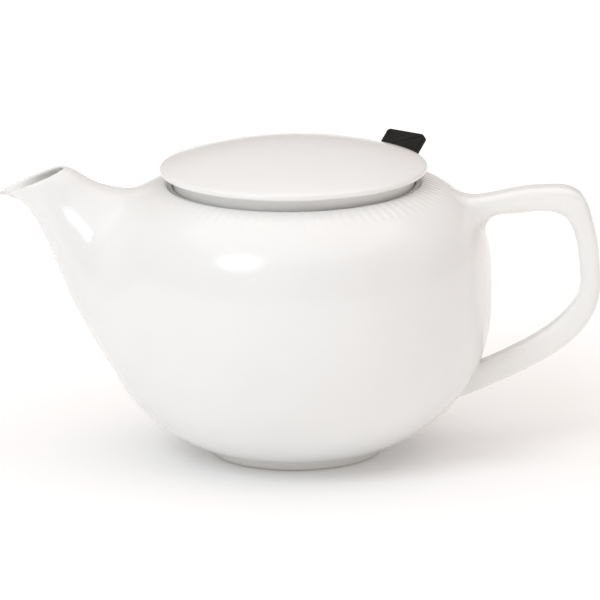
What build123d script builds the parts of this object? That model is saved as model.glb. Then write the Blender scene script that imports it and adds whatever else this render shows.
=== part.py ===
from build123d import *
import os
from math import asin, cos, pi, radians, sin

os.makedirs("parts", exist_ok=True)

# All sizes in millimetres. While a piece is being built, Z is the bulb's axis and the table is
# z = 0; the spout points to -X and the handle to +X. Each piece is moved by SHIFT_X as it is
# written, so that the row's origin is the middle of the footprint between spout tip and handle.

# Bulb: an upper and a lower superellipse that meet at the belly.
BELLY_R = 78.7
BELLY_Z = 63.8
UPPER_RISE = 51.0
UPPER_POWER = 3.36
LOWER_DROP = 65.8
LOWER_POWER = 2.21
WALL = 4.0

# Foot ring and floor.
FOOT_R = 33.2
FOOT_TOP_Z = 3.9
FOOT_INNER_R = 28.4
RECESS_Z = 2.8
RECESS_TAPER = 1.0
FLOOR_Z = 7.4

# Opening: the infuser's flange lies on a ledge just inside the rim.
RIM_R = 50.9
RIM_LAND = 0.5
LEDGE_Z = 109.4
BORE_R = 49.6
BORE_DEPTH = 10.0

# Infuser, pressed from thin steel sheet.
SHEET = 0.6
FLANGE_R = 50.5
FLANGE_Z = LEDGE_Z + SHEET
FLANGE_EDGE_R = 0.25
COLLAR_R = 49.2
STEP_Z = 103.5
BASKET_R = 45.2
BASKET_SHEET = 0.4
BASKET_FLOOR_Z = 31.0
LIP_DROP = 4.0
BAND_HEIGHT = 4.5
BAND_LAP = 1.0
BAND_TURN_IN = 2.5

# Lid: a shallow dome with a flange that stands on the collar's step.
LID_R = 53.6
LID_TOP_Z = 126.2
LID_EDGE_Z = 117.4
LID_UNDER_Z = 115.1
LID_HOLLOW_Z = 114.7
LID_NOSE = 0.8
LID_UNDER_RISE = 0.4
LID_FLANGE_R = 48.2
LID_FLANGE_WALL = 3.2
LID_CHAMFER = 0.8
LID_THICKNESS = 4.6

# Tab: a bent steel strip with a silicone grip, behind the handle side of the rim.
TAB_ANGLE = 50.0
ARM_WIDTH = 9.0
ARM_SHEET = 0.8
ARM_BEND_R = 0.5
ARM_STEP_R = 49.9
ARM_RIM_R = 50.6
ARM_RIM_END_R = 56.5
ARM_RIM_Z = 112.3
GRIP_WIDTH = 19.0
GRIP_THICKNESS = 3.2
GRIP_LENGTH = 10.4
GRIP_CORNER_R = 1.6
GRIP_EDGE_R = 0.6
GRIP_SLOPE = 42.8
GRIP_TIP = (72.2, 117.0)

# Handle: outer and inner outlines in the plane y = 0, as (x, z), both from the upper joint
# round to the lower one.
HANDLE_WIDTH = 12.0
HANDLE_EDGE_R = 3.0
HANDLE_OUTER = [
    (64.0, 103.0),
    (78.7, 104.6),
    (90.7, 106.9),
    (100.7, 107.6),
    (109.6, 107.0),
    (114.9, 103.9),
    (118.5, 96.1),
    (121.0, 84.5),
    (121.9, 72.1),
    (121.0, 60.5),
    (116.6, 51.5),
    (106.4, 41.4),
    (92.7, 33.4),
    (74.9, 25.4),
    (58.0, 19.0),
]
HANDLE_INNER = [
    (64.0, 90.0),
    (75.4, 93.0),
    (79.5, 96.0),
    (86.6, 97.0),
    (94.6, 97.7),
    (102.6, 97.6),
    (108.4, 95.0),
    (110.9, 91.0),
    (112.6, 84.6),
    (113.8, 74.3),
    (113.6, 65.5),
    (107.9, 55.8),
    (98.1, 47.7),
    (83.2, 39.7),
    (76.3, 36.6),
    (60.0, 31.0),
]

SPOUT_TIP_X = -118.7
HANDLE_END_X = 121.9
SHIFT_X = -(SPOUT_TIP_X + HANDLE_END_X) / 2


def curve_from_belly(radius, reach, power, end_z, sign, points=9):
    """Points of a superellipse from the belly to the height end_z, above (sign 1) or below."""
    far = asin(min(1.0, (abs(end_z - BELLY_Z) / reach) ** (power / 2)))
    found = []
    for i in range(points):
        t = far * i / (points - 1)
        r = radius * cos(t) ** (2 / power)
        z = BELLY_Z + sign * reach * sin(t) ** (2 / power)
        found.append((r, 0, z))
    return found


def radius_at(z, inset=0.0):
    """Radius of the bulb's outer surface, or of one set in from it, at a height."""
    if z > BELLY_Z:
        reach, power = UPPER_RISE - inset, UPPER_POWER
    else:
        reach, power = LOWER_DROP - inset, LOWER_POWER
    share = abs(z - BELLY_Z) / reach
    return (BELLY_R - inset) * (1 - share**power) ** (1 / power)


def height_at(r, inset=0.0):
    """Height of the shoulder at a radius, on the outer surface or one set in from it."""
    share = (r / (BELLY_R - inset)) ** UPPER_POWER
    return BELLY_Z + (UPPER_RISE - inset) * (1 - share) ** (1 / UPPER_POWER)


def turned(edges):
    """A solid of revolution about Z from a closed outline."""
    return revolve(make_face(edges), Axis.Z)


def bulb(inset, low_z, top_r):
    """The bulb's solid, set in by a wall thickness, cut flat at low_z and at top_r."""
    top_z = height_at(top_r, inset)
    lower = curve_from_belly(BELLY_R - inset, LOWER_DROP - inset, LOWER_POWER, low_z, -1)
    upper = curve_from_belly(BELLY_R - inset, UPPER_RISE - inset, UPPER_POWER, top_z, 1)
    side = Spline(lower[:0:-1] + upper)
    bottom = Line((0, 0, low_z), lower[-1])
    top = Line(upper[-1], (0, 0, top_z))
    axis = Line((0, 0, top_z), (0, 0, low_z))
    return turned(bottom + side + top + axis)


# Spout: the ridge along its top and the line along its underside, as (x, z), from inside the
# bulb to the mouth, with the half width and the egg shape at the same stations. Egg says how
# far a section's widest place lies towards its top, or below zero towards its underside.
SPOUT_TOP = [
    (-44.0, 101.0),
    (-62.0, 107.3),
    (-76.1, 110.1),
    (-81.8, 112.7),
    (-87.0, 116.0),
    (-91.3, 117.9),
]
SPOUT_UNDER = [
    (-50.0, 46.0),
    (-70.5, 41.2),
    (-84.9, 56.3),
    (-95.1, 79.3),
    (-103.6, 97.6),
    (-109.6, 104.5),
    (SPOUT_TIP_X, 107.0),
]
SPOUT_HALF_WIDTH = [42.0, 39.5, 32.0, 22.5, 13.3, 9.0]
SPOUT_EGG = [-0.3, -0.3, -0.27, -0.19, -0.1, 0.15]
SPOUT_SECTIONS = 11
SECTION_POINTS = 16
SPOUT_ROOT_WALL = 3.6
SPOUT_MOUTH_WALL = 1.8
MOUTH_LIFT = 1.5


def between(values, share):
    """A value given at evenly spaced stations, read off a smooth curve through them."""
    place = share * (len(values) - 1)
    i = min(int(place), len(values) - 2)
    t = place - i
    start, end = values[i], values[i + 1]
    leaving = (end - values[max(i - 1, 0)]) / 2
    arriving = (values[min(i + 2, len(values) - 1)] - start) / 2
    return (
        start * (1 + 2 * t) * (1 - t) ** 2
        + end * t * t * (3 - 2 * t)
        + leaving * t * (1 - t) ** 2
        - arriving * t * t * (1 - t)
    )


def spout_section(top, under, half_width, egg, lift):
    """One closed section of the spout between a point on its top and one on its underside."""
    down = under - top
    reach = down.length / 2
    down = down.normalized()
    out = Vector(down.Z, 0, -down.X)
    centre = top + down * reach + out * lift
    ring = []
    for i in range(SECTION_POINTS):
        turn = 2 * pi * i / SECTION_POINTS
        across = half_width * sin(turn) * (1 + egg * cos(turn))
        point = centre - down * (reach * cos(turn))
        ring.append((point.X, across, point.Z))
    return make_face(Spline(ring, periodic=True))


def spout(root_wall, mouth_wall, lift=0.0):
    """The spout's solid, set in by a wall; lift carries the last section out of the mouth."""
    top_line = Spline([(x, 0, z) for x, z in SPOUT_TOP])
    under_line = Spline([(x, 0, z) for x, z in SPOUT_UNDER])
    faces = []
    for i in range(SPOUT_SECTIONS):
        share = i / (SPOUT_SECTIONS - 1)
        wall = root_wall + (mouth_wall - root_wall) * share
        down = (under_line @ share - top_line @ share).normalized()
        faces.append(
            spout_section(
                top_line @ share + down * wall,
                under_line @ share - down * wall,
                between(SPOUT_HALF_WIDTH, share) - wall,
                between(SPOUT_EGG, share),
                lift if share == 1 else 0.0,
            )
        )
    return loft(faces)


def keep(name, shape):
    """Write one node's STEP file in the row's frame."""
    export_step(shape.moved(Location((SHIFT_X, 0, 0))), f"parts/{name}.step")


def disc(low_z, high_z, radius):
    """A plain disc about Z."""
    return Pos(0, 0, (low_z + high_z) / 2) * Cylinder(radius, high_z - low_z)


def ring(low_z, high_z, inner_r, outer_r):
    """A plain ring about Z."""
    return disc(low_z, high_z, outer_r) - disc(low_z - 1, high_z + 1, inner_r)


# Pot: the bulb with its foot is one casting, and the spout is another, luted to it round a
# hole in the bulb's wall.
rim_z = height_at(RIM_R + RIM_LAND)
foot_edge = (radius_at(FOOT_TOP_Z), 0, FOOT_TOP_Z)
foot = turned(
    Polyline(foot_edge, (0, 0, FOOT_TOP_Z), (0, 0, 0), (FOOT_R, 0, 0), foot_edge)
)
recess = Pos(0, 0, RECESS_Z / 2) * Cone(FOOT_INNER_R, FOOT_INNER_R - RECESS_TAPER, RECESS_Z)
bulb_solid = bulb(0, FOOT_TOP_Z, RIM_R + RIM_LAND)
channel = spout(SPOUT_ROOT_WALL, SPOUT_MOUTH_WALL, lift=MOUTH_LIFT)
pot = bulb_solid + foot - recess - bulb(WALL, FLOOR_Z, BORE_R)
pot -= disc(rim_z - BORE_DEPTH, rim_z + 1, BORE_R)
pot -= disc(LEDGE_Z, rim_z + 1, RIM_R)
keep("pot_bulb", pot - channel)
keep("pot_spout", spout(0, 0) - bulb_solid - channel)

# Handle, cast by itself and luted to the bulb.
outer_line = [(x, 0, z) for x, z in HANDLE_OUTER]
inner_line = [(x, 0, z) for x, z in HANDLE_INNER]
outline = (
    Spline(outer_line)
    + Line(outer_line[-1], inner_line[-1])
    + Spline(inner_line[::-1])
    + Line(inner_line[0], outer_line[0])
)
handle = extrude(make_face(outline), HANDLE_WIDTH / 2, dir=(0, 1, 0), both=True)
long_edges = [e for e in handle.edges() if e.length > HANDLE_WIDTH * 5]
handle = fillet(long_edges, HANDLE_EDGE_R)
keep("pot_handle", handle - bulb_solid)

# Lid: dome and flange are one casting.
def dome(top_z, edge_r, edge_z):
    """An arc from the axis to an edge, level where it crosses the axis."""
    drop = top_z - edge_z
    sphere = (edge_r * edge_r + drop * drop) / (2 * drop)
    half = edge_r / 2
    half_z = top_z - sphere + (sphere * sphere - half * half) ** 0.5
    return ThreePointArc((0, 0, top_z), (half, 0, half_z), (edge_r, 0, edge_z))


ceiling_z = LID_TOP_Z - LID_THICKNESS
hollow_r = LID_FLANGE_R - LID_FLANGE_WALL
edge_r = LID_R - LID_NOSE
edge_mid_z = (LID_EDGE_Z + LID_UNDER_Z) / 2
edge_above = (edge_r, 0, LID_EDGE_Z)
edge_below = (edge_r, 0, LID_UNDER_Z)
lid = turned(
    dome(LID_TOP_Z, edge_r, LID_EDGE_Z)
    + ThreePointArc(edge_above, (LID_R, 0, edge_mid_z), edge_below)
    + Polyline(
        edge_below,
        (LID_FLANGE_R, 0, LID_UNDER_Z + LID_UNDER_RISE),
        (LID_FLANGE_R, 0, STEP_Z + LID_CHAMFER),
        (LID_FLANGE_R - LID_CHAMFER, 0, STEP_Z),
        (hollow_r + LID_CHAMFER, 0, STEP_Z),
        (hollow_r, 0, STEP_Z + LID_CHAMFER),
        (hollow_r, 0, LID_HOLLOW_Z),
    )
    + dome(ceiling_z, hollow_r, LID_HOLLOW_Z)
    + Line((0, 0, ceiling_z), (0, 0, LID_TOP_Z))
)
keep("lid", lid)

# Infuser: collar, basket wall, perforated floor and the hoop that holds the floor on.
collar = (
    ring(LEDGE_Z, FLANGE_Z, COLLAR_R - SHEET, FLANGE_R)
    + ring(STEP_Z - SHEET, FLANGE_Z, COLLAR_R - SHEET, COLLAR_R)
    + ring(STEP_Z - SHEET, STEP_Z, BASKET_R, COLLAR_R)
    + ring(STEP_Z - LIP_DROP, STEP_Z, BASKET_R, BASKET_R + SHEET)
)
flange_top_edges = collar.edges().filter_by(
    lambda edge: abs(edge.center().Z - FLANGE_Z) < 0.01 and edge.radius > COLLAR_R + SHEET
)
keep("infuser_collar", fillet(flange_top_edges, FLANGE_EDGE_R))
keep("infuser_wall", ring(BASKET_FLOOR_Z, STEP_Z, BASKET_R - BASKET_SHEET, BASKET_R))
floor_under_z = BASKET_FLOOR_Z - BASKET_SHEET
keep("infuser_floor", disc(floor_under_z, BASKET_FLOOR_Z, BASKET_R))
band_low_z = BASKET_FLOOR_Z - BAND_LAP
band = (
    ring(band_low_z, BASKET_FLOOR_Z + BAND_HEIGHT, BASKET_R, BASKET_R + SHEET)
    + ring(band_low_z, floor_under_z, BASKET_R - BAND_TURN_IN, BASKET_R + SHEET)
)
keep("infuser_floor_band", band)

# Tab: a strip spot welded on the flange climbs over the rim, follows the shoulder down and
# turns up into the silicone grip. Built in the plane y = 0, then turned to its place.
slope_x = cos(radians(GRIP_SLOPE))
slope_z = sin(radians(GRIP_SLOPE))


def on_grip(back):
    """A point on the grip's middle plane, some way back from its tip."""
    return (GRIP_TIP[0] - back * slope_x, GRIP_TIP[1] - back * slope_z)


weld_z = FLANGE_Z + ARM_SHEET / 2
arm_line = FilletPolyline(
    (COLLAR_R - SHEET / 2, weld_z),
    (ARM_STEP_R, weld_z),
    (ARM_RIM_R, ARM_RIM_Z),
    (ARM_RIM_END_R, ARM_RIM_Z),
    on_grip(GRIP_LENGTH + 1.4),
    on_grip(3.0),
    radius=ARM_BEND_R,
)
strip = make_face(offset(arm_line, ARM_SHEET / 2, side=Side.BOTH, kind=Kind.ARC))
arm = extrude(Plane.XZ * strip, ARM_WIDTH / 2, both=True)
middle = on_grip(GRIP_LENGTH / 2)
pad = Box(GRIP_LENGTH, GRIP_WIDTH, GRIP_THICKNESS)
pad = fillet(pad.edges().filter_by(Axis.Z), GRIP_CORNER_R)
rim_edges = pad.faces().sort_by(Axis.Z)[0].edges() + pad.faces().sort_by(Axis.Z)[-1].edges()
pad = fillet(rim_edges, GRIP_EDGE_R)
pad = Pos(middle[0], 0, middle[1]) * Rot(0, -GRIP_SLOPE, 0) * pad
turn = Rot(0, 0, TAB_ANGLE)
keep("infuser_tab_arm", turn * arm)
keep("infuser_tab_grip", turn * (pad - arm))
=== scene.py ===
from math import cos, hypot, pi, radians, sin

import bmesh
import bpy
import numpy as np
from mathutils import Matrix, Vector
from mathutils.geometry import delaunay_2d_cdt


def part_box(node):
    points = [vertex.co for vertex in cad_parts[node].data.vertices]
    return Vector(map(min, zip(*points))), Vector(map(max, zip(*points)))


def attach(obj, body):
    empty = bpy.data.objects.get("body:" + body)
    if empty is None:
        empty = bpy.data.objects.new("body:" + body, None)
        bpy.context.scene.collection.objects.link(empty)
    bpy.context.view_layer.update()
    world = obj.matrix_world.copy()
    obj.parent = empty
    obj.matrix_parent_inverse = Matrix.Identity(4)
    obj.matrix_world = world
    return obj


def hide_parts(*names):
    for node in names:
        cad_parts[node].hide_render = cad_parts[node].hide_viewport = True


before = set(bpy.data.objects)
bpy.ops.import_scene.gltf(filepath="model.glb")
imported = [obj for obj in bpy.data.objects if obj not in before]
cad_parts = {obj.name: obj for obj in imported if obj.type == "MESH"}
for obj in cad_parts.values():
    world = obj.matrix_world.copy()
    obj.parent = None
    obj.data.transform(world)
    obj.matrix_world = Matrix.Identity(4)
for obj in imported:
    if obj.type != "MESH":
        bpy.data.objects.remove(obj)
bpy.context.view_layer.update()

# Shapes are worked out in millimetres about the bulb's axis, with the table at z = 0, the
# spout towards -X and the handle towards +X. MM and AXIS bring them into the frame.
MM = 0.001
lid_low, lid_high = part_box("lid")
AXIS = Vector(((lid_low[0] + lid_high[0]) / 2, 0, 0))

# Bulb.
BELLY_R = 78.7
BELLY_Z = 63.8
UPPER_RISE = 51.0
UPPER_POWER = 3.36
LOWER_DROP = 65.8
LOWER_POWER = 2.21
WALL = 4.0
FOOT_R = 33.2
FOOT_TOP_R = 36.9
FOOT_TOP_Z = 3.9
FOOT_INNER_R = 28.4
RECESS_Z = 2.8
BARE_CLAY_Z = (0.6, 1.1)
FLOOR_Z = 7.4
FOOT_EDGE_R = 1.0
FOOT_OVERLAP = 3.0  # how far the foot's cone runs on inside the bulb
RECESS_TAPER = 0.36
RIM_R = 50.9
RIM_Z = 110.82
RIM_LAND = 3.0
RIM_EDGE_R = 0.6
LEDGE_Z = 109.4
BORE_R = 49.6
BORE_LOW_Z = 100.0
INSIDE_R = 4.0
INNER_EDGE_R = 1.0

# Spout: (x, z) along its top and its underside. Half width and egg shape are given at even
# steps from root to mouth; a negative egg shape makes a section wider at its underside.
SPOUT_TOP = [
    (-44.0, 101.0), (-62.0, 107.3), (-76.1, 110.1), (-81.8, 112.7), (-87.0, 116.0),
    (-91.3, 117.9),
]
SPOUT_UNDER = [
    (-50.0, 46.0), (-70.5, 41.2), (-84.9, 56.3), (-95.1, 79.3), (-103.6, 97.6),
    (-109.6, 104.5), (-118.7, 107.0),
]
SPOUT_HALF_WIDTH = [42.0, 39.5, 32.0, 22.5, 13.3, 9.0]
SPOUT_EGG = [-0.3, -0.3, -0.27, -0.19, -0.1, 0.15]
SPOUT_ROOT_WALL = 3.6
SPOUT_MOUTH_WALL = 1.8
SPOUT_EDGE_R = 0.6
MOUTH_LIFT = 4.0
# The valley between bulb and spout is rounder on the flanks than above and below.
SPOUT_VALLEY_R = 5.0
SPOUT_FLANK_VALLEY_R = 11.0
SPOUT_FLANK_Y = (8.0, 28.0)

# Handle: outer and inner outlines as (x, z), from the upper joint round to the lower one.
HANDLE_HALF_WIDTH = 6.0
HANDLE_EDGE_R = 3.0
HANDLE_UPPER_VALLEY_R = 5.0
HANDLE_LOWER_VALLEY_R = 1.6
HANDLE_MIDDLE_Z = 70.0
HANDLE_OUTER = [
    (64.0, 103.0), (78.7, 104.6), (90.7, 106.9), (100.7, 107.6), (109.6, 107.0),
    (114.9, 103.9), (118.5, 96.1), (121.0, 84.5), (121.9, 72.1), (121.0, 60.5),
    (116.6, 51.5), (106.4, 41.4), (92.7, 33.4), (74.9, 25.4), (58.0, 19.0),
]
HANDLE_INNER = [
    (64.0, 90.0), (75.4, 93.0), (79.5, 96.0), (86.6, 97.0), (94.6, 97.7), (102.6, 97.6),
    (108.4, 95.0), (110.9, 91.0), (112.6, 84.6), (113.8, 74.3), (113.6, 65.5),
    (107.9, 55.8), (98.1, 47.7), (83.2, 39.7), (76.3, 36.6), (60.0, 31.0),
]

# Fine radial flutes on the shoulder round the opening. They fade in at the rim and out at
# their far end, and fade towards the spout between two cosines of the angle from it.
FLUTES = 90
FLUTE_DEPTH = 0.16
FLUTE_START_R = 51.6
FLUTE_FADE_IN = 0.8
FLUTE_END_R = 63.0
FLUTE_FADE_OUT = 2.2
FLUTE_SPOUT_COS = (0.35, 0.75)
FLUTE_SPOUT_SHARE = 0.15
# The ring of the skin whose mesh is made finer for them, and how deep the skin reaches.
FLUTE_ZONE_R = (50.2, 65.0)
FLUTE_ZONE_Z = 103.0
SKIN_BAND = 1.5

# Lid.
LID_R = 53.6
LID_TOP_Z = 126.2
LID_EDGE_Z = 117.4
LID_UNDER_Z = 115.1
LID_HOLLOW_Z = 114.7
LID_FLANGE_R = 48.2
LID_FLANGE_WALL = 3.2
LID_THICKNESS = 4.6
LID_NOSE = 0.9

# Infuser.
SHEET = 0.6
FLANGE_R = 50.5
COLLAR_R = 49.2
STEP_Z = 103.5
BASKET_R = 45.2
BASKET_SHEET = 0.4
BASKET_FLOOR_Z = 31.0
LIP_DROP = 4.0
BAND_HEIGHT = 4.5
BAND_LAP = 1.0
BAND_TURN_IN = 2.5
HOLE_R = 0.55
HOLE_PITCH = 2.6
HOLE_SIDES = 8  # the tile round a hole has as many points
HOLE_MARGIN = 1.0
FLOOR_MARGIN = 4.5

# Tab: the strip is welded on the collar's flange, steps up over the pot's rim, and runs
# into the grip along its slope. ARM_ENTRY and ARM_END are measured back from the grip's tip.
TAB_ANGLE = radians(50.0)
ARM_WIDTH = 9.0
ARM_SHEET = 0.8
ARM_EDGE_R = 0.2
ARM_BEND_R = 1.2
ARM_START_R = COLLAR_R - SHEET + 0.2
ARM_STEP_R = 49.9
ARM_RIM_R = 50.6
ARM_RIM_END_R = 56.5
ARM_RIM_Z = 112.3
ARM_ENTRY = 11.8
ARM_END = 3.0
GRIP_WIDTH = 19.0
GRIP_THICKNESS = 3.2
GRIP_LENGTH = 10.4
GRIP_CORNER_R = 1.6
GRIP_EDGE_R = 0.6
GRIP_SLOPE = radians(42.8)
GRIP_TIP = (72.2, 117.0)

# The grid that the pot's skin is found on: its spacing, its corner and its points. It
# covers one half of the pot, and the other half is its mirror image.
GRID = 0.95
GRID_CORNER = (-121.0, 0.0, -3.0)
GRID_COUNTS = (257, 87, 133)
FAR = 40.0  # a distance that counts as far from any surface
RELAX = 0.6  # how far each point of the skin moves towards its neighbours' middle
RELAX_ROUNDS = 4


# ---------------------------------------------------------------- lines and fields

def smooth_line(points, count):
    """A natural cubic spline through points, read off at evenly spaced parameters."""
    points = np.array(points, float)
    steps = np.hypot(*np.diff(points, axis=0).T)
    knots = np.concatenate([[0], np.cumsum(steps)])
    size = len(points)
    system = np.eye(size)
    right = np.zeros_like(points)
    for i in range(1, size - 1):
        before, after = steps[i - 1], steps[i]
        system[i, i - 1:i + 2] = before, 2 * (before + after), after
        slopes = (points[i + 1] - points[i]) / after - (points[i] - points[i - 1]) / before
        right[i] = 6 * slopes
    bend = np.linalg.solve(system, right)
    at = np.linspace(0, knots[-1], count)
    span = np.clip(np.searchsorted(knots, at, side="right") - 1, 0, size - 2)
    wide = steps[span][:, None]
    a = ((knots[span + 1] - at)[:, None]) / wide
    b = 1 - a
    return (
        a * points[span]
        + b * points[span + 1]
        + ((a**3 - a) * bend[span] + (b**3 - b) * bend[span + 1]) * wide**2 / 6
    )


def between(values, share):
    """Values given at evenly spaced stations, read off a smooth curve through them."""
    values = np.array(values)
    place = share * (len(values) - 1)
    i = np.minimum(place.astype(int), len(values) - 2)
    t = place - i
    start, end = values[i], values[i + 1]
    leaving = (end - values[np.maximum(i - 1, 0)]) / 2
    arriving = (values[np.minimum(i + 2, len(values) - 1)] - start) / 2
    return (
        start * (1 + 2 * t) * (1 - t) ** 2
        + end * t * t * (3 - 2 * t)
        + leaving * t * (1 - t) ** 2
        - arriving * t * t * (1 - t)
    )


def smooth_min(a, b, k):
    """The union of two fields with a rounded valley."""
    near = np.maximum(k - np.abs(a - b), 0) / k
    return np.minimum(a, b) - near * near * k / 4


def smooth_max(a, b, k):
    """The common part of two fields with a rounded edge."""
    return -smooth_min(-a, -b, k)


def bulb_field(r, z, inset):
    """First-order distance to the bulb's surface, set in by a wall thickness."""
    above = z > BELLY_Z
    power = np.where(above, UPPER_POWER, LOWER_POWER)
    reach = np.where(above, UPPER_RISE, LOWER_DROP) - inset
    wide = BELLY_R - inset
    u = np.maximum(r / wide, 1e-3)
    v = np.maximum(np.abs(z - BELLY_Z) / reach, 1e-3)
    size = (u**power + v**power) ** (1 / power)
    slope = np.hypot((u / size) ** (power - 1) / wide, (v / size) ** (power - 1) / reach)
    return (size - 1) / slope


def spout_field(x, y, z, root_wall, mouth_wall, lift):
    """Distance to the spout, from the fan of sections between its top and underside."""
    stations = 81
    share = np.linspace(0, 1, stations)
    wall = (root_wall + (mouth_wall - root_wall) * share)[:, None]
    top = smooth_line(SPOUT_TOP, stations)
    under = smooth_line(SPOUT_UNDER, stations)
    down = under - top
    down /= np.hypot(down[:, 0], down[:, 1])[:, None]
    top, under = top + down * wall, under - down * wall
    middle = (top + under) / 2
    reach = np.hypot(*(under - top).T) / 2
    half_width = between(SPOUT_HALF_WIDTH, share) - wall[:, 0]
    egg = between(SPOUT_EGG, share)
    out = np.stack([down[:, 1], -down[:, 0]], axis=1)

    flat_x, flat_z = x[:, 0, :], z[:, 0, :]
    beyond = np.stack(
        [(flat_x - m[0]) * o[0] + (flat_z - m[1]) * o[1] for m, o in zip(middle, out)]
    )
    passed = np.clip((beyond > 0).sum(axis=0), 1, stations - 1)
    low = np.take_along_axis(beyond, passed[None] - 1, axis=0)[0]
    high = np.take_along_axis(beyond, passed[None], axis=0)[0]
    place = passed - 1 + np.clip(low / np.where(low == high, 1, low - high), 0, 1)

    def read(values):
        return np.interp(place, np.arange(stations), values)

    along = (flat_x - read(middle[:, 0])) * read(down[:, 0])
    along += (flat_z - read(middle[:, 1])) * read(down[:, 1])
    along /= read(reach)
    width = read(half_width) * (1 - read(egg) * np.clip(along, -1, 1))
    size = np.sqrt(along[:, None, :] ** 2 + (y / width[:, None, :]) ** 2)
    size = np.maximum(size, 1e-3)
    slope = np.sqrt(sum(g * g for g in np.gradient(size, GRID)))
    field = (size - 1) / np.maximum(slope, 1e-3)
    return smooth_max(
        np.clip(field, -FAR, FAR),
        np.maximum(beyond[-1] - lift, -beyond[0])[:, None, :],
        SPOUT_EDGE_R,
    )


def outline_field(x, z, outline):
    """Signed distance to a closed outline in the plane, negative inside it."""
    start = np.array(outline)
    end = np.roll(start, -1, axis=0)
    nearest = np.full(x.shape, 1e9)
    inside = np.zeros(x.shape, bool)
    for (ax, az), (bx, bz) in zip(start, end):
        ex, ez = bx - ax, bz - az
        t = np.clip(((x - ax) * ex + (z - az) * ez) / (ex * ex + ez * ez + 1e-12), 0, 1)
        nearest = np.minimum(nearest, np.hypot(x - ax - t * ex, z - az - t * ez))
        crosses = (az > z) != (bz > z)
        if az != bz:
            inside ^= crosses & (x < (z - az) * ex / ez + ax)
    return np.where(inside, -nearest, nearest)


def handle_field(x, y, z):
    """Distance to the handle's bar, a rounded rectangle in section."""
    outline = np.concatenate(
        [smooth_line(HANDLE_OUTER, 90), smooth_line(HANDLE_INNER, 90)[::-1]]
    )
    flat = outline_field(x[:, 0, :], z[:, 0, :], outline)[:, None, :]
    in_plane = flat + HANDLE_EDGE_R
    across = np.abs(y) - HANDLE_HALF_WIDTH + HANDLE_EDGE_R
    outside = np.hypot(np.maximum(in_plane, 0), np.maximum(across, 0))
    return outside + np.minimum(np.maximum(in_plane, across), 0) - HANDLE_EDGE_R


def pot_field():
    """The pot's field on a grid over its whole box, and that grid's corner."""
    corner = np.array(GRID_CORNER)
    xs, ys, zs = (start + GRID * np.arange(n) for start, n in zip(GRID_CORNER, GRID_COUNTS))
    x, y, z = np.meshgrid(xs, ys, zs, indexing="ij")
    r = np.hypot(x, y)

    spout_valley = np.interp(y, SPOUT_FLANK_Y, (SPOUT_VALLEY_R, SPOUT_FLANK_VALLEY_R))
    body = smooth_min(bulb_field(r, z, 0), spout_field(x, y, z, 0, 0, 0), spout_valley)
    upper = z > HANDLE_MIDDLE_Z
    handle_valley = np.where(upper, HANDLE_UPPER_VALLEY_R, HANDLE_LOWER_VALLEY_R)
    body = smooth_min(body, handle_field(x, y, z), handle_valley)

    foot_slope = (FOOT_TOP_R - FOOT_R) / FOOT_TOP_Z
    foot = (r - FOOT_R - z * foot_slope) / hypot(1, foot_slope)
    foot = np.maximum(foot, z - FOOT_TOP_Z - FOOT_OVERLAP)
    body = smooth_min(body, foot, FOOT_EDGE_R)
    body = smooth_max(body, -z, FOOT_EDGE_R)
    recess = smooth_max(r - FOOT_INNER_R + z * RECESS_TAPER, z - RECESS_Z, FOOT_EDGE_R)
    body = smooth_max(body, -recess, FOOT_EDGE_R)
    body = smooth_max(body, np.where(r < RIM_R + RIM_LAND, z - RIM_Z, -FAR), RIM_EDGE_R)

    hollow = smooth_max(bulb_field(r, z, WALL), FLOOR_Z - z, INSIDE_R)
    channel = spout_field(x, y, z, SPOUT_ROOT_WALL, SPOUT_MOUTH_WALL, MOUTH_LIFT)
    hollow = smooth_min(hollow, channel, INSIDE_R)
    bore = np.maximum(r - BORE_R, BORE_LOW_Z - z)
    mouth = np.maximum(r - RIM_R, LEDGE_Z - z)
    hollow = np.minimum(hollow, np.minimum(bore, mouth))
    body = smooth_max(body, -hollow, INNER_EDGE_R)
    body = np.concatenate([body[:, :0:-1, :], body], axis=1)
    corner[1] = -GRID * (GRID_COUNTS[1] - 1)
    return body.astype(np.float32), corner


def read_field(field, corner, points):
    """Value and gradient of a field at points, between its grid's samples."""
    place = (points - corner) / GRID
    cell = np.clip(np.floor(place).astype(int), 0, np.array(field.shape) - 2)
    part = place - cell
    value = 0
    slope = np.zeros_like(points)
    for dx in (0, 1):
        for dy in (0, 1):
            for dz in (0, 1):
                at = field[cell[:, 0] + dx, cell[:, 1] + dy, cell[:, 2] + dz]
                wx = part[:, 0] if dx else 1 - part[:, 0]
                wy = part[:, 1] if dy else 1 - part[:, 1]
                wz = part[:, 2] if dz else 1 - part[:, 2]
                value = value + at * wx * wy * wz
                slope[:, 0] += at * (1 if dx else -1) * wy * wz
                slope[:, 1] += at * (1 if dy else -1) * wx * wz
                slope[:, 2] += at * (1 if dz else -1) * wx * wy
    return value, slope / GRID


def pull(field, corner, points):
    """Points moved on to the field's zero surface in three steps, none over a grid cell."""
    for _ in range(3):
        value, slope = read_field(field, corner, points)
        steep = np.maximum((slope * slope).sum(axis=1), 0.05)
        move = slope * np.clip(value / steep, -GRID, GRID)[:, None]
        points = points - move
    return points


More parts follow.
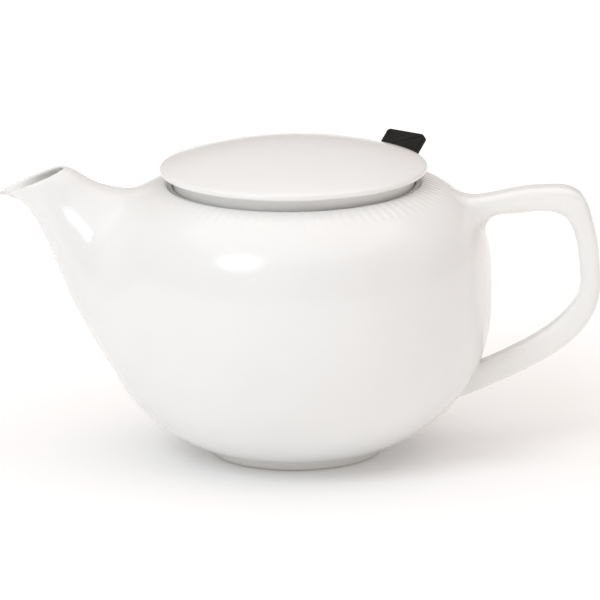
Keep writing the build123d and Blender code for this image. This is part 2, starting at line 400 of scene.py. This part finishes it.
def surface(field, corner):
    """A quad mesh on the field's zero surface, one point per cell that the surface crosses."""
    inside = field < 0
    parts = [(dx, dy, dz) for dx in (0, 1) for dy in (0, 1) for dz in (0, 1)]
    nx, ny, nz = (n - 1 for n in field.shape)
    count = sum(
        inside[dx:dx + nx, dy:dy + ny, dz:dz + nz].astype(np.int8) for dx, dy, dz in parts
    )
    cells = np.argwhere((count > 0) & (count < 8))
    number = np.full((nx, ny, nz), -1, np.int64)
    number[tuple(cells.T)] = np.arange(len(cells))

    total = np.zeros((len(cells), 3))
    crossings = np.zeros(len(cells))
    for start in parts:
        for axis in range(3):
            if start[axis]:
                continue
            end = list(start)
            end[axis] = 1
            a = field[tuple((cells + start).T)]
            b = field[tuple((cells + end).T)]
            cut = (a < 0) != (b < 0)
            share = np.where(cut, a / np.where(cut, a - b, 1), 0)
            point = cells + np.array(start, float)
            point[:, axis] += share
            total += point * cut[:, None]
            crossings += cut
    points = corner + GRID * total / crossings[:, None]

    quads = []
    for axis in range(3):
        side, other = (axis + 1) % 3, (axis + 2) % 3
        keep = [slice(1, -1)] * 3
        keep[axis] = slice(0, -1)
        ahead = list(keep)
        ahead[axis] = slice(1, None)
        here, there = inside[tuple(keep)], inside[tuple(ahead)]
        edges = np.argwhere(here != there)
        leaving = here[tuple(edges.T)]
        base = edges + 1
        base[:, axis] -= 1
        ring = []
        for step_side, step_other in ((-1, -1), (0, -1), (0, 0), (-1, 0)):
            cell = base.copy()
            cell[:, side] += step_side
            cell[:, other] += step_other
            ring.append(number[tuple(cell.T)])
        ring = np.stack(ring, axis=1)
        ring[~leaving] = ring[~leaving][:, ::-1]
        quads.append(ring)
    quads = np.concatenate(quads)

    ends = np.concatenate([quads[:, [i, (i + 1) % 4]] for i in range(4)])
    for _ in range(RELAX_ROUNDS):
        total = np.zeros_like(points)
        links = np.zeros(len(points))
        for a, b in ((0, 1), (1, 0)):
            for i in range(3):
                total[:, i] += np.bincount(ends[:, a], points[ends[:, b], i], len(points))
            links += np.bincount(ends[:, a], minlength=len(points))
        evened = points * (1 - RELAX) + RELAX * total / links[:, None]
        points = pull(field, corner, evened)
    return points, quads


# ---------------------------------------------------------------- mesh helpers

def finish_piece(name, mesh, body, look, nodes):
    """Puts a mesh given in millimetres about the axis into the frame as a smooth piece."""
    mesh.transform(Matrix.Translation(AXIS) @ Matrix.Scale(MM, 4))
    mesh.shade_smooth()
    piece = bpy.data.objects.new(name, mesh)
    bpy.context.scene.collection.objects.link(piece)
    mesh.materials.append(look)
    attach(piece, body)
    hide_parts(*nodes)


def mesh_from(name, points, faces):
    """A mesh from points and faces, its normals turned outwards."""
    mesh = bpy.data.meshes.new(name)
    mesh.from_pydata([tuple(p) for p in points], [], [tuple(int(i) for i in f) for f in faces])
    work = bmesh.new()
    work.from_mesh(mesh)
    bmesh.ops.remove_doubles(work, verts=work.verts, dist=1e-4)
    bmesh.ops.recalc_face_normals(work, faces=work.faces)
    work.to_mesh(mesh)
    work.free()
    return mesh


def lofted(size, rings):
    """Faces between rings of size points each, given one after another, and both ends."""
    faces = []
    for i in range(rings - 1):
        for k in range(size):
            n = (k + 1) % size
            faces.append((i * size + k, i * size + n, (i + 1) * size + n, (i + 1) * size + k))
    faces.append(tuple(range(size)))
    faces.append(tuple(range((rings - 1) * size, rings * size)))
    return faces


def round_corner(before, here, after, size):
    """Points on the curve that rounds the corner here, on the way from before to after."""
    if size == 0:
        return [here]
    back, ahead = before - here, after - here
    cut = min(size, back.length * 0.45, ahead.length * 0.45)
    a, b = here + back.normalized() * cut, here + ahead.normalized() * cut
    steps = [k / 5 for k in range(6)]
    return [a * (1 - t) ** 2 + here * 2 * t * (1 - t) + b * t * t for t in steps]


def rounded(corners, spacing=0.8):
    """A closed outline from (r, z, rounding) corners, with points every spacing or so."""
    spots = [Vector(corner[:2]) for corner in corners]
    line = []
    for i, corner in enumerate(corners):
        line += round_corner(spots[i - 1], spots[i], spots[(i + 1) % len(spots)], corner[2])
    full = []
    for i, here in enumerate(line):
        there = line[(i + 1) % len(line)]
        parts = max(1, int((there - here).length / spacing))
        if here.x < 1e-6 and there.x < 1e-6:
            parts = 1
        full += [here.lerp(there, k / parts) for k in range(parts)]
    return full


def dome(top_z, edge_r, edge_z, spacing=1.2):
    """(r, z, 0) points from the axis to an edge, on a sphere that is level at the axis."""
    drop = top_z - edge_z
    sphere = (edge_r * edge_r + drop * drop) / (2 * drop)
    count = int(edge_r / spacing)
    found = []
    for i in range(count):
        r = edge_r * i / count
        found.append((r, top_z - sphere + (sphere * sphere - r * r) ** 0.5, 0))
    return found


def turned(name, outline, segments=180):
    """A mesh of revolution from a closed outline; points on the axis become one point each."""
    points, rings = [], []
    for p in outline:
        if p.x < 1e-6:
            rings.append([len(points)] * segments)
            points.append((0, 0, p.y))
            continue
        rings.append([len(points) + k for k in range(segments)])
        for k in range(segments):
            turn = 2 * pi * k / segments
            points.append((p.x * cos(turn), p.x * sin(turn), p.y))
    faces = []
    for i, ring in enumerate(rings):
        ahead = rings[(i + 1) % len(rings)]
        for k in range(segments):
            n = (k + 1) % segments
            face = []
            for index in (ring[k], ring[n], ahead[n], ahead[k]):
                if index not in face:
                    face.append(index)
            if len(face) > 2:
                faces.append(face)
    return mesh_from(name, points, faces)


# ---------------------------------------------------------------- materials

def material(name, base, roughness, metallic=0.0):
    """A material with its Principled shader, and a helper that adds nodes to it."""
    made = bpy.data.materials.new(name)
    made.use_nodes = True
    tree = made.node_tree
    shader = tree.nodes["Principled BSDF"]
    shader.inputs["Base Color"].default_value = (*base, 1)
    shader.inputs["Roughness"].default_value = roughness
    shader.inputs["Metallic"].default_value = metallic
    return made, tree, shader


def node(tree, kind, values=None, **settings):
    """A new node with its settings, and values or links for its inputs."""
    made = tree.nodes.new("ShaderNode" + kind)
    for key, value in settings.items():
        setattr(made, key, value)
    for key, value in (values or {}).items():
        if isinstance(value, bpy.types.NodeSocket):
            tree.links.new(value, made.inputs[key])
        else:
            made.inputs[key].default_value = value
    return made


def noise(tree, where, scale, detail=2.0, roughness=0.5):
    """A noise texture's value, in features per metre."""
    values = {"Vector": where, "Scale": scale, "Detail": detail, "Roughness": roughness}
    return node(tree, "TexNoise", values).outputs["Fac"]


def spread(tree, value, low, high, start=0.0, end=1.0):
    """A value mapped from start..end to low..high."""
    values = {"Value": value, "From Min": start, "From Max": end, "To Min": low, "To Max": high}
    return node(tree, "MapRange", values).outputs["Result"]


def blend(tree, share, first, second):
    """Two colours mixed by a share. The Mix node's colours are its inputs 6 and 7, output 2."""
    values = {"Factor": share}
    for socket, colour in ((6, first), (7, second)):
        linked = isinstance(colour, bpy.types.NodeSocket)
        values[socket] = colour if linked else (*colour, 1)
    return node(tree, "Mix", values, data_type="RGBA").outputs[2]


def bump(tree, height, strength, distance):
    """A bump node's normal."""
    values = {"Height": height, "Strength": strength, "Distance": distance}
    return node(tree, "Bump", values).outputs["Normal"]


def porcelain(name, bare_foot):
    """White glaze: clear gloss with a faint ripple; the foot's bottom is left bare."""
    made, tree, shader = material(name, (0.90, 0.90, 0.89), 0.13)
    where = node(tree, "TexCoord").outputs["Object"]
    cloud = noise(tree, where, 22.0, 3.0)
    share = spread(tree, cloud, 0.0, 1.0, 0.3, 0.7)
    colour = blend(tree, share, (0.89, 0.89, 0.88), (0.92, 0.92, 0.905))
    rough = spread(tree, noise(tree, where, 60.0, 2.0), 0.14, 0.20, 0.3, 0.7)
    ripple = noise(tree, where, 35.0, 1.0)
    if bare_foot:
        height = node(tree, "SeparateXYZ", {"Vector": where}).outputs["Z"]
        bare = spread(tree, height, 1.0, 0.0, *(z * MM for z in BARE_CLAY_Z))
        grain = noise(tree, where, 2600.0, 2.0)
        clay = blend(tree, grain, (0.70, 0.67, 0.62), (0.80, 0.77, 0.72))
        colour = blend(tree, bare, colour, clay)
        sums = {0: bare, 1: 0.6, 2: rough}
        rough = node(tree, "Math", sums, operation="MULTIPLY_ADD").outputs["Value"]
    tree.links.new(colour, shader.inputs["Base Color"])
    tree.links.new(rough, shader.inputs["Roughness"])
    tree.links.new(bump(tree, ripple, 0.12, 0.0004), shader.inputs["Normal"])
    shader.inputs["Subsurface Weight"].default_value = 0.25
    shader.inputs["Subsurface Radius"].default_value = (0.006, 0.0055, 0.005)
    shader.inputs["Subsurface Scale"].default_value = 1.0
    shader.inputs["IOR"].default_value = 1.52
    return made


def steel(name, stretch):
    """Stainless sheet with fine rolling lines along one direction."""
    made, tree, shader = material(name, (0.63, 0.63, 0.62), 0.4, 1.0)
    where = node(tree, "TexCoord").outputs["Object"]
    long = node(tree, "Mapping", {"Vector": where, "Scale": stretch}).outputs["Vector"]
    lines = noise(tree, long, 900.0, 3.0, 0.6)
    cloud = noise(tree, where, 70.0, 2.0)
    share = spread(tree, cloud, 0.0, 1.0, 0.3, 0.7)
    colour = blend(tree, share, (0.58, 0.58, 0.57), (0.68, 0.68, 0.665))
    tree.links.new(colour, shader.inputs["Base Color"])
    tree.links.new(spread(tree, lines, 0.34, 0.52, 0.3, 0.7), shader.inputs["Roughness"])
    tree.links.new(bump(tree, lines, 0.15, 0.00005), shader.inputs["Normal"])
    return made


def silicone(name):
    """Matt black silicone with a fine moulded grain and a little dust."""
    made, tree, shader = material(name, (0.016, 0.016, 0.014), 0.6)
    shader.inputs["Specular IOR Level"].default_value = 0.15
    where = node(tree, "TexCoord").outputs["Object"]
    grain = noise(tree, where, 3200.0, 2.0)
    dust = noise(tree, where, 160.0, 3.0)
    share = spread(tree, dust, 0.0, 1.0, 0.35, 0.75)
    colour = blend(tree, share, (0.011, 0.011, 0.010), (0.021, 0.020, 0.019))
    tree.links.new(colour, shader.inputs["Base Color"])
    tree.links.new(spread(tree, dust, 0.5, 0.68, 0.3, 0.7), shader.inputs["Roughness"])
    tree.links.new(bump(tree, grain, 0.25, 0.00006), shader.inputs["Normal"])
    return made


# ---------------------------------------------------------------- pot

def pot_mesh():
    """The pot with its spout and handle, one skin of glaze, with flutes on the shoulder."""
    field, corner = pot_field()
    points, quads = surface(field, corner)
    mesh = mesh_from("pot", points, quads)
    work = bmesh.new()
    work.from_mesh(mesh)
    ring = [edge for edge in work.edges if all(on_shoulder(v.co) for v in edge.verts)]
    bmesh.ops.subdivide_edges(work, edges=ring, cuts=2, use_grid_fill=True)
    work.verts.ensure_lookup_table()
    chosen = [v for v in work.verts if on_shoulder(v.co)]
    found = pull(field, corner, np.array([v.co[:] for v in chosen]))
    _, slope = read_field(field, corner, found)
    slope /= np.linalg.norm(slope, axis=1)[:, None]
    r = np.hypot(found[:, 0], found[:, 1])
    turn = np.arctan2(found[:, 1], found[:, 0])
    fade = np.clip((r - FLUTE_START_R) / FLUTE_FADE_IN, 0, 1)
    fade *= np.clip((FLUTE_END_R - r) / FLUTE_FADE_OUT, 0, 1)
    fade *= np.interp(-np.cos(turn), FLUTE_SPOUT_COS, (1, FLUTE_SPOUT_SHARE))
    depth = FLUTE_DEPTH * fade * (0.5 * np.cos(FLUTES * turn) - 0.5)
    for vert, place in zip(chosen, found + slope * depth[:, None]):
        vert.co = place
    work.to_mesh(mesh)
    work.free()
    return mesh


def on_shoulder(p):
    """Whether a point is on the outer skin, in the ring of the shoulder that has the flutes."""
    r = hypot(p.x, p.y)
    if not FLUTE_ZONE_R[0] < r < FLUTE_ZONE_R[1]:
        return False
    skin_z = BELLY_Z + UPPER_RISE * (1 - (r / BELLY_R) ** UPPER_POWER) ** (1 / UPPER_POWER)
    return p.z > max(FLUTE_ZONE_Z, skin_z - SKIN_BAND)


pot_nodes = ["pot_bulb", "pot_spout", "pot_handle"]
finish_piece("pot", pot_mesh(), "pot", porcelain("glaze_pot", True), pot_nodes)

# ---------------------------------------------------------------- lid

ceiling_z = LID_TOP_Z - LID_THICKNESS
hollow_r = LID_FLANGE_R - LID_FLANGE_WALL
lid_outline = rounded(
    dome(LID_TOP_Z, LID_R - LID_NOSE, LID_EDGE_Z)
    + [
        (LID_R - 0.25, LID_EDGE_Z - 0.35, LID_NOSE),
        (LID_R - 0.2, LID_UNDER_Z, 1.1),
        (LID_FLANGE_R, LID_UNDER_Z + 0.4, 0.9),
        (LID_FLANGE_R, STEP_Z, 0.8),
        (hollow_r, STEP_Z, 0.8),
        (hollow_r, LID_HOLLOW_Z, 3.0),
    ]
    + dome(ceiling_z, hollow_r - 2, LID_HOLLOW_Z + 0.6)[::-1]
)
lid_mesh = turned("lid_cover", lid_outline, 240)
finish_piece("lid_cover", lid_mesh, "lid_body", porcelain("glaze_lid", False), ["lid"])

# ---------------------------------------------------------------- infuser sheet parts

around = steel("steel_turned", (1.0, 1.0, 30.0))
flange_z = LEDGE_Z + SHEET
collar_outline = rounded([
    (FLANGE_R, LEDGE_Z, 0.25),
    (FLANGE_R, flange_z, 0.25),
    (COLLAR_R - SHEET, flange_z, 0.5),
    (COLLAR_R - SHEET, STEP_Z, 0.4),
    (BASKET_R, STEP_Z, 0.4),
    (BASKET_R, STEP_Z - LIP_DROP, 0.2),
    (BASKET_R + SHEET, STEP_Z - LIP_DROP, 0.2),
    (BASKET_R + SHEET, STEP_Z - SHEET, 0.2),
    (COLLAR_R, STEP_Z - SHEET, 0.5),
    (COLLAR_R, LEDGE_Z, 0.2),
], 0.5)
collar_mesh = turned("collar", collar_outline)
finish_piece("collar", collar_mesh, "infuser", around, ["infuser_collar"])

band_top = BASKET_FLOOR_Z + BAND_HEIGHT
band_low = BASKET_FLOOR_Z - BAND_LAP
floor_low = BASKET_FLOOR_Z - BASKET_SHEET
band_outline = rounded([
    (BASKET_R, band_top, 0.15),
    (BASKET_R, floor_low, 0.05),
    (BASKET_R - BAND_TURN_IN, floor_low, 0.15),
    (BASKET_R - BAND_TURN_IN, band_low, 0.15),
    (BASKET_R + SHEET, band_low, 0.5),
    (BASKET_R + SHEET, band_top, 0.2),
], 0.5)
band_mesh = turned("floor_band", band_outline)
finish_piece("floor_band", band_mesh, "infuser", around, ["infuser_floor_band"])

# A round hole's corners on a circle of radius 1.
HOLE_RING = [
    (cos(2 * pi * k / HOLE_SIDES), sin(2 * pi * k / HOLE_SIDES)) for k in range(HOLE_SIDES)
]


def perforated_tube():
    """The basket's wall: staggered round holes through the sheet, plain at both ends."""
    columns = round(2 * pi * BASKET_R / HOLE_PITCH)
    half_pitch = pi / columns
    low, high = band_top + HOLE_MARGIN, STEP_Z - LIP_DROP - HOLE_MARGIN
    rows = int((high - low) / HOLE_PITCH)
    half_step = (high - low) / rows / 2
    hole_turn = HOLE_R / BASKET_R
    outer, inner = BASKET_R, BASKET_R - BASKET_SHEET
    tile = [(round(u), round(v)) for u, v in HOLE_RING]
    points, faces = [], []

    def add(turn, z, r):
        points.append((r * cos(turn), r * sin(turn), z))
        return len(points) - 1

    for row in range(rows):
        for column in range(columns):
            turn = (2 * column + row % 2) * half_pitch
            z = low + (2 * row + 1) * half_step
            loops = []
            for r in (outer, inner):
                edge = [add(turn + u * half_pitch, z + v * half_step, r) for u, v in tile]
                hole = [add(turn + u * hole_turn, z + v * HOLE_R, r) for u, v in HOLE_RING]
                loops.append((edge, hole))
            (edge_out, hole_out), (edge_in, hole_in) = loops
            for k in range(HOLE_SIDES):
                n = (k + 1) % HOLE_SIDES
                faces.append((edge_out[k], edge_out[n], hole_out[n], hole_out[k]))
                faces.append((edge_in[n], edge_in[k], hole_in[k], hole_in[n]))
                faces.append((hole_out[k], hole_out[n], hole_in[n], hole_in[k]))
    for holes_z, end_z in ((low, BASKET_FLOOR_Z), (high, STEP_Z)):
        walk = [(holes_z, outer), (end_z, outer), (end_z, inner), (holes_z, inner)]
        for k in range(2 * columns):
            a, b = k * half_pitch, (k + 1) * half_pitch
            for (z, r), (next_z, next_r) in zip(walk, walk[1:]):
                near = (add(a, z, r), add(b, z, r))
                faces.append((*near, add(b, next_z, next_r), add(a, next_z, next_r)))
    return mesh_from("basket_wall", points, faces)


def perforated_disc():
    """The basket's floor: the same holes in a triangular pattern, plain at the edge."""
    edge_count = 144
    turns = [2 * pi * k / edge_count for k in range(edge_count)]
    corners = [Vector((BASKET_R * cos(turn), BASKET_R * sin(turn))) for turn in turns]
    loops = [list(range(edge_count))]
    centres = []
    rise = HOLE_PITCH * 3 ** 0.5 / 2
    rows = int(BASKET_R / rise)
    for row in range(-rows, rows + 1):
        for column in range(-rows - 2, rows + 3):
            x, y = (column + 0.5 * (row % 2)) * HOLE_PITCH, row * rise
            if hypot(x, y) < BASKET_R - FLOOR_MARGIN:
                centres.append((x, y))
    for x, y in centres:
        loops.append(list(range(len(corners), len(corners) + HOLE_SIDES)))
        corners += [Vector((x + HOLE_R * u, y + HOLE_R * v)) for u, v in HOLE_RING]
    edges = [(loop[k - 1], loop[k]) for loop in loops for k in range(len(loop))]
    flat, _, triangles, _, _, _ = delaunay_2d_cdt(corners, edges, [], 0, 1e-6)
    spots = np.array(centres)
    kept = []
    for triangle in triangles:
        x, y = (sum(flat[i][axis] for i in triangle) / 3 for axis in (0, 1))
        if np.hypot(spots[:, 0] - x, spots[:, 1] - y).min() > HOLE_R * 0.9:
            kept.append(tuple(triangle))
    count = len(flat)
    points = [(p.x, p.y, z) for z in (BASKET_FLOOR_Z, floor_low) for p in flat]
    faces = kept + [tuple(count + i for i in reversed(face)) for face in kept]
    for a, b in edges:
        faces.append((a, b, count + b, count + a))
    return mesh_from("basket_floor", points, faces)


sheet = steel("steel_sheet", (1.0, 1.0, 8.0))
finish_piece("basket_wall", perforated_tube(), "infuser", sheet, ["infuser_wall"])
finish_piece("basket_floor", perforated_disc(), "infuser", sheet, ["infuser_floor"])

# ---------------------------------------------------------------- tab

def on_grip(back):
    """A point (r, z) on the grip's middle plane, some way back from its tip."""
    return Vector((GRIP_TIP[0] - back * cos(GRIP_SLOPE), GRIP_TIP[1] - back * sin(GRIP_SLOPE)))


def strip_mesh():
    """The arm: a flat strip swept along its bent line, with rounded edges."""
    weld_z = flange_z + ARM_SHEET / 2
    corners = [
        Vector((ARM_START_R, weld_z)),
        Vector((ARM_STEP_R, weld_z)),
        Vector((ARM_RIM_R, ARM_RIM_Z)),
        Vector((ARM_RIM_END_R, ARM_RIM_Z)),
        on_grip(ARM_ENTRY),
        on_grip(ARM_END),
    ]
    line = [corners[0]]
    for before, here, after in zip(corners, corners[1:], corners[2:]):
        line += round_corner(before, here, after, ARM_BEND_R)
    line.append(corners[-1])
    half, thick, edge = ARM_WIDTH / 2, ARM_SHEET / 2, ARM_EDGE_R
    section = [
        (half - edge, thick), (half - edge * 0.3, thick - edge * 0.3), (half, thick - edge),
        (half, edge - thick), (half - edge * 0.3, edge * 0.3 - thick), (half - edge, -thick),
    ]
    section += [(-w, -t) for w, t in section]
    points = []
    for i, here in enumerate(line):
        ahead = (line[min(i + 1, len(line) - 1)] - line[max(i - 1, 0)]).normalized()
        up = Vector((-ahead.y, ahead.x))
        for across, rise in section:
            place = here + up * rise
            points.append((place.x, across, place.y))
    return mesh_from("tab_arm", points, lofted(len(section), len(line)))


def pad_mesh():
    """The grip: a flat pad with round corners and soft edges."""
    half_thick = GRIP_THICKNESS / 2
    corner_x, corner_y = GRIP_LENGTH / 2 - GRIP_CORNER_R, GRIP_WIDTH / 2 - GRIP_CORNER_R
    outline = []
    for corner, (side_x, side_y) in enumerate(((1, 1), (-1, 1), (-1, -1), (1, -1))):
        for k in range(9):
            outline.append((side_x * corner_x, side_y * corner_y, pi / 2 * (corner + k / 8)))
    flat_out = GRIP_CORNER_R - GRIP_EDGE_R
    rings = [(-0.2 * GRIP_CORNER_R, half_thick)]
    for k in range(5):
        turn = pi / 2 * k / 4
        out = flat_out + GRIP_EDGE_R * sin(turn)
        rings.append((out, half_thick - GRIP_EDGE_R * (1 - cos(turn))))
    rings += [(out, -z) for out, z in reversed(rings)]
    points = []
    for out, z in rings:
        for x, y, turn in outline:
            points.append((x + out * cos(turn), y + out * sin(turn), z))
    mesh = mesh_from("tab_grip", points, lofted(len(outline), len(rings)))
    middle = on_grip(GRIP_LENGTH / 2)
    mesh.transform(
        Matrix.Translation((middle.x, 0, middle.y)) @ Matrix.Rotation(-GRIP_SLOPE, 4, "Y")
    )
    return mesh


for name, made, slot, look, cad in (
    ("tab_arm", strip_mesh(), "steel", sheet, "infuser_tab_arm"),
    ("tab_grip", pad_mesh(), "silicone", silicone("silicone_black"), "infuser_tab_grip"),
):
    made.transform(Matrix.Rotation(TAB_ANGLE, 4, "Z"))
    finish_piece(name, made, "infuser", look, [cad])

# ---------------------------------------------------------------- studio

STAGE_SIZE = 6.0
LAMP_DISTANCE = 2.6
POT_MIDDLE = Vector((0, 0, 0.06))

floor_mesh = bpy.data.meshes.new("studio_floor")
work = bmesh.new()
bmesh.ops.create_grid(work, x_segments=8, y_segments=8, size=STAGE_SIZE)
work.to_mesh(floor_mesh)
work.free()
floor = bpy.data.objects.new("studio_floor", floor_mesh)
bpy.context.scene.collection.objects.link(floor)
floor_look, floor_tree, floor_shader = material("studio_white", (0.95, 0.95, 0.95), 0.9)
floor_shader.inputs["Specular IOR Level"].default_value = 0.1
floor_shader.inputs["Emission Color"].default_value = (1, 1, 1, 1)
# It glows a little, and more away from the pot, so that it is white all round.
floor_place = node(floor_tree, "TexCoord").outputs["Object"]
far = node(floor_tree, "VectorMath", {0: floor_place}, operation="LENGTH").outputs["Value"]
glow = spread(floor_tree, far, 0.09, 0.24, 0.12, 0.4)
floor_tree.links.new(glow, floor_shader.inputs["Emission Strength"])
floor_mesh.materials.append(floor_look)

world = bpy.data.worlds.new("studio")
bpy.context.scene.world = world
world.use_nodes = True
world.node_tree.nodes["Background"].inputs["Color"].default_value = (1.0, 0.915, 0.88, 1)
world.node_tree.nodes["Background"].inputs["Strength"].default_value = 0.485


def lamp(name, bearing, height, size, power, colour):
    """A round soft light aimed at the pot; bearing runs from the front to the right."""
    data = bpy.data.lights.new(name, "AREA")
    data.shape = "DISK"
    data.size = size
    data.energy = power
    data.color = colour
    bearing, height = radians(bearing), radians(height)
    away = Vector((sin(bearing) * cos(height), -cos(bearing) * cos(height), sin(height)))
    made = bpy.data.objects.new(name, data)
    made.location = POT_MIDDLE + away * LAMP_DISTANCE
    made.rotation_euler = away.to_track_quat("Z", "Y").to_euler()
    bpy.context.scene.collection.objects.link(made)


# The key makes the glaze's highlight, front fills the belly, and the wide top one is too
# soft to make a highlight of its own.
lamp("key", -39.0, 41.0, 1.15, 14.5, (0.79, 0.93, 1.0))
lamp("front", -20.0, 12.0, 2.2, 2.2, (1.0, 0.99, 0.98))
lamp("top", 0.0, 88.0, 4.5, 46.0, (1.0, 0.97, 0.96))

# Camera: a long lens in front of the pot, a little above it, with a slight roll.
ELEVATION = radians(14.2)
ROLL = radians(0.7)
DISTANCE = 3.2
VIEW_WIDTH = 0.240
TARGET = Vector((0.0003, 0.0, 0.0618))
SENSOR = 36.0
scene = bpy.context.scene
camera_data = bpy.data.cameras.new("camera")
camera_data.sensor_width = SENSOR
camera_data.lens = SENSOR * DISTANCE / VIEW_WIDTH
camera = bpy.data.objects.new("camera", camera_data)
back = Vector((0, -cos(ELEVATION), sin(ELEVATION)))
camera.location = TARGET + back * DISTANCE
camera.rotation_euler = (
    (-back).to_track_quat("-Z", "Y").to_matrix() @ Matrix.Rotation(-ROLL, 3, "Z")
).to_euler()
scene.collection.objects.link(camera)
scene.camera = camera
scene.view_settings.view_transform = "Standard"
